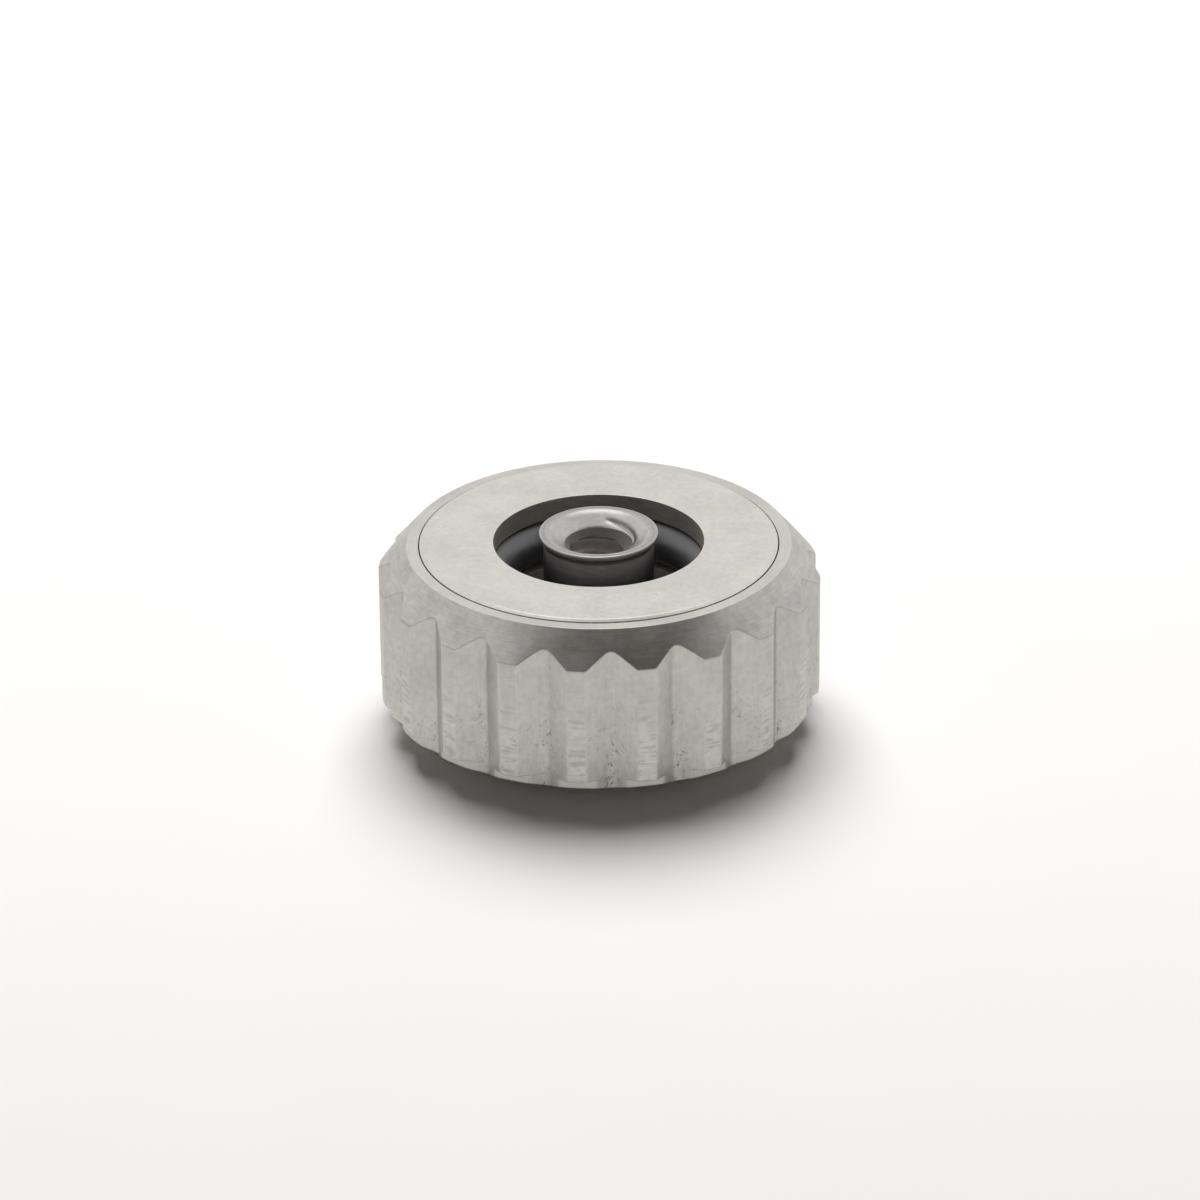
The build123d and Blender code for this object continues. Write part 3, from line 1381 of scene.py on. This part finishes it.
@dataclass
class SpacerRing:
    """The flat steel ring between the rubber rings."""

    node: str = "spacer_ring"
    inner_radius: float = 1.30 * MM
    edge_break: float = 0.015 * MM
    columns: int = 192

    def build(self) -> bpy.types.Object:
        """Turns and finishes the spacer.

        Returns:
            The spacer.
        """
        low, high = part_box(self.node)
        foot, top = low[2], high[2]
        outer = (high[0] - low[0]) / 2
        zone, ease = PlainZone.WHOLE, self.edge_break
        start = Corner((self.inner_radius + outer) / 2, foot, zone)
        corners = [
            start,
            Corner(outer, foot, zone, ease),
            Corner(outer, top, zone, ease, 3),
            Corner(self.inner_radius, top, zone, ease),
            Corner(self.inner_radius, foot, zone, ease),
            start,
        ]
        blank = Turned(trace(corners)[:-1], self.columns, closed=True)
        finish = Steel("oiled_spacer", SPACER_TINT, 0.6, metallic=0.2).build()
        return blank.to_object("seal_spacer", [finish], self.node)


# Studio


@dataclass(frozen=True)
class Patch:
    """A soft oval patch of the room, which only steel and rubber mirror.

    Turn and tilt are in degrees, as Studio.bearing takes them.
    """

    turn: float
    tilt: float
    half_width: float  # as the sine of an angle
    half_height: float
    softness: float  # how far its edge fades, as a share of its size
    colour: Colour


@dataclass(frozen=True)
class Lamp:
    """A soft lamp that faces the crown, in the same degrees as a patch."""

    name: str
    turn: float
    tilt: float
    distance: float
    width: float
    height: float
    power: float


@dataclass
class Studio:
    """The pale floor, the soft light and the camera of the photograph."""

    head_radius: float
    washer_top: float
    camera_turn: float = math.radians(6.0)
    camera_tilt: float = math.radians(26.45)
    camera_roll: float = math.radians(-0.5)
    distance_share: float = 28.0  # of the head's radius, as the next two
    aim_below_share: float = 0.271
    aim_right_share: float = 0.0015
    lens: float = 186.5
    sensor_width: float = 36.0
    clip_start: float = 0.001
    clip_end: float = 10.0
    floor_size: float = 1.2
    shadow_reach: float = 0.0030  # within it the steel mirrors the crown's own shadow
    shadow_fade_share: float = 1.4
    floor_glow: Colour = (0.86, 0.85, 0.83)
    floor_glow_share: float = 0.78
    paper_cloud_scale: float = 300.0
    paper_cloud: tuple[float, float] = (0.992, 1.0)
    paper_reach: float = 0.020
    # Warm paper, drawn darker towards the camera: painted fall-off of the light on the floor
    paper_tint_and_falloff: tuple[tuple[float, Colour], ...] = (
        (0.02, (0.975, 0.972, 0.968)),
        (0.30, (0.970, 0.965, 0.955)),
        (0.50, (0.965, 0.950, 0.925)),
        (0.64, (0.955, 0.925, 0.900)),
        (0.85, (0.925, 0.890, 0.865)),
        (0.94, (0.870, 0.835, 0.810)),
        (0.98, (0.840, 0.805, 0.780)),
    )
    room: Colour = (0.88, 0.88, 0.88)
    fill: Colour = (0.090, 0.084, 0.088)
    dark: Patch = Patch(14.0, 52.0, 0.74, 0.42, 0.35, (0.125, 0.117, 0.112))
    window: Patch = Patch(187.0, 71.0, 0.36, 0.24, 0.40, (2.1, 2.1, 2.1))
    lamp: Lamp = Lamp("back_lamp", 184.5, 61.0, 0.20, 0.15, 0.17, 0.52)

    def axes(self) -> tuple[Vector, Vector, Vector]:
        """The camera's own axes before its roll.

        Returns:
            The directions to the right, up and forward, as the camera sees them.
        """
        level = Vector((-math.sin(self.camera_turn), math.cos(self.camera_turn), 0.0))
        right = Vector((math.cos(self.camera_turn), math.sin(self.camera_turn), 0.0))
        forward = math.cos(self.camera_tilt) * level - math.sin(self.camera_tilt) * UP
        return right, right.cross(forward), forward

    def bearing(self, turn: float, tilt: float) -> Vector:
        """A direction from the crown.

        Args:
            turn: Degrees round the crown from the camera's direction, to the right.
            tilt: Degrees over the floor.

        Returns:
            The direction, of length one.
        """
        right = self.axes()[0]
        near = right.cross(UP)
        turn, tilt = math.radians(turn), math.radians(tilt)
        level = math.cos(turn) * near + math.sin(turn) * right
        return math.cos(tilt) * level + math.sin(tilt) * UP

    def place_camera(self) -> None:
        """Puts the scene's camera where the photograph was taken from."""
        right, up, forward = self.axes()
        roll, below = self.camera_roll, self.aim_below_share
        aside = self.aim_right_share * math.cos(roll) - below * math.sin(roll)
        aim_right = self.head_radius * aside
        aim_up = -self.head_radius * below * math.cos(roll)
        target = Vector((0, 0, self.washer_top)) + aim_right * right + aim_up * up
        turn = Matrix.Rotation(-roll, 3, forward)
        matrix = Matrix((turn @ right, turn @ up, -forward)).transposed().to_4x4()
        matrix.translation = target - self.distance_share * self.head_radius * forward
        data = bpy.data.cameras.new("camera")
        data.lens = self.lens
        data.sensor_width = self.sensor_width
        data.clip_start = self.clip_start
        data.clip_end = self.clip_end
        camera = add_object("camera", data)
        camera.matrix_world = matrix
        bpy.context.scene.camera = camera

    def lay_floor(self) -> None:
        """Lays the pale floor at the crown's foot."""
        mesh = bmesh.new()
        bmesh.ops.create_grid(mesh, x_segments=1, y_segments=1, size=self.floor_size / 2)
        data = bpy.data.meshes.new("floor")
        mesh.to_mesh(data)
        mesh.free()
        data.materials.append(self.floor_finish())
        floor = add_object("floor", data)

    def floor_finish(self) -> bpy.types.Material:
        """Smooth pale paper, painted darker towards the camera, which the steel mirrors as part of
        the bright room.

        Returns:
            The material.
        """
        material = bpy.data.materials.new("pale_paper")
        graph = Graph(material)
        coordinates = graph.add("ShaderNodeTexCoord").outputs["Object"]
        near = self.bearing(0.0, 0.0)
        nearness = graph.vector("DOT_PRODUCT", coordinates, tuple(near / self.paper_reach))
        nearness = graph.math("MULTIPLY_ADD", nearness, 0.5, 0.5, clamp=True)
        ramp = graph.row("ShaderNodeValToRGB", (nearness,))
        stops = ramp.color_ramp.elements
        for place, colour in self.paper_tint_and_falloff:
            stops.new(place).color = (*colour, 1.0)
        stops.remove(stops[0])
        stops.remove(stops[-1])
        cloud = graph.noise(coordinates, self.paper_cloud_scale, detail=3.0)
        faint = graph.span(cloud, *NOISE_SPAN, *self.paper_cloud)
        paper = graph.row("ShaderNodeBsdfDiffuse", (graph.scaled(ramp.outputs[0], faint),))
        glow = graph.row("ShaderNodeEmission", (self.floor_glow,))
        reach, fade = self.shadow_reach, self.shadow_fade_share
        away = graph.vector("LENGTH", coordinates)
        share = graph.span(away, reach, fade * reach, 0.0, self.floor_glow_share)
        glossy = graph.add("ShaderNodeLightPath").outputs["Is Glossy Ray"]
        mirrored = graph.product(glossy, share)
        mix = graph.row("ShaderNodeMixShader", (mirrored, paper.outputs[0], glow.outputs[0]))
        graph.show(mix)
        return material

    def hang_lamp(self, lamp: Lamp) -> None:
        """Hangs a soft lamp that faces the crown.

        Args:
            lamp: The lamp. Steel and rubber mirror the painted window in its place.
        """
        ray = self.bearing(lamp.turn, lamp.tilt)
        data = bpy.data.lights.new(lamp.name, "AREA")
        data.shape = "RECTANGLE"
        data.size, data.size_y = lamp.width, lamp.height
        data.energy = lamp.power
        hung = add_object(lamp.name, data)
        hung.location = lamp.distance * ray
        hung.rotation_euler = (-ray).to_track_quat("-Z", "Y").to_euler()
        hung.visible_glossy = False

    def mask(self, graph: Graph, direction: object, patch: Patch) -> bpy.types.NodeSocket:
        """Where a patch of the room shows.

        Args:
            graph: The world's graph.
            direction: The direction that is looked in.
            patch: The patch.

        Returns:
            The mask, 1 in the patch.
        """
        middle = self.bearing(patch.turn, patch.tilt)
        side = UP.cross(middle).normalized()
        rise = middle.cross(side)
        across = graph.vector("DOT_PRODUCT", direction, tuple(side / patch.half_width))
        upward = graph.vector("DOT_PRODUCT", direction, tuple(rise / patch.half_height))
        reach = graph.vector("LENGTH", graph.combine(across, upward, 0.0))
        facing = graph.span(graph.vector("DOT_PRODUCT", direction, tuple(middle)), 0.0, 0.1)
        return graph.product(graph.span(reach, 1 + patch.softness, 1 - patch.softness), facing)

    def paint_world(self) -> None:
        """Surrounds the crown with a bright room, a dark patch over the camera and a window."""
        world = bpy.data.worlds.new("room")
        bpy.context.scene.world = world
        graph = Graph(world)
        direction = graph.add("ShaderNodeTexCoord").outputs["Generated"]
        mirrored: object = self.room
        for patch in (self.dark, self.window):
            mirrored = graph.blend(self.mask(graph, direction, patch), mirrored, patch.colour)
        ray = graph.add("ShaderNodeLightPath").outputs
        lit = graph.blend(ray["Is Glossy Ray"], self.fill, mirrored)
        seen = graph.blend(ray["Is Camera Ray"], lit, WHITE)
        background = graph.row("ShaderNodeBackground", (seen, 1.0))
        graph.show(background, "ShaderNodeOutputWorld")

    def build(self) -> None:
        """Sets up camera, floor, room and lamp."""
        self.place_camera()
        self.lay_floor()
        self.paint_world()
        self.hang_lamp(self.lamp)
        bpy.context.scene.view_settings.view_transform = "Standard"


def main() -> None:
    """Builds the crown piece by piece, then the studio round it."""
    logging.basicConfig(level=logging.INFO, format="%(name)s: %(message)s")
    head = CrownHead()
    rubber = Rubber("black_nitrile").build()
    makers: list[tuple[str, Callable[[], bpy.types.Object]]] = [
        ("head", head.build),
        ("post", StemPost().build),
        ("washer", RetainingWasher().build),
        ("outer seal", lambda: RubberRing("outer_o_ring", "outer_seal").build(rubber)),
        ("spacer", SpacerRing().build),
        ("inner seal", lambda: RubberRing("inner_o_ring", "inner_seal").build(rubber)),
    ]
    for name, make in makers:
        piece = make()
        log.info("%s: %s with %d faces", name, piece.name, len(piece.data.polygons))
    Studio(head.radius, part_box("retaining_washer")[1][2]).build()


if __name__ == "__main__":
    main()
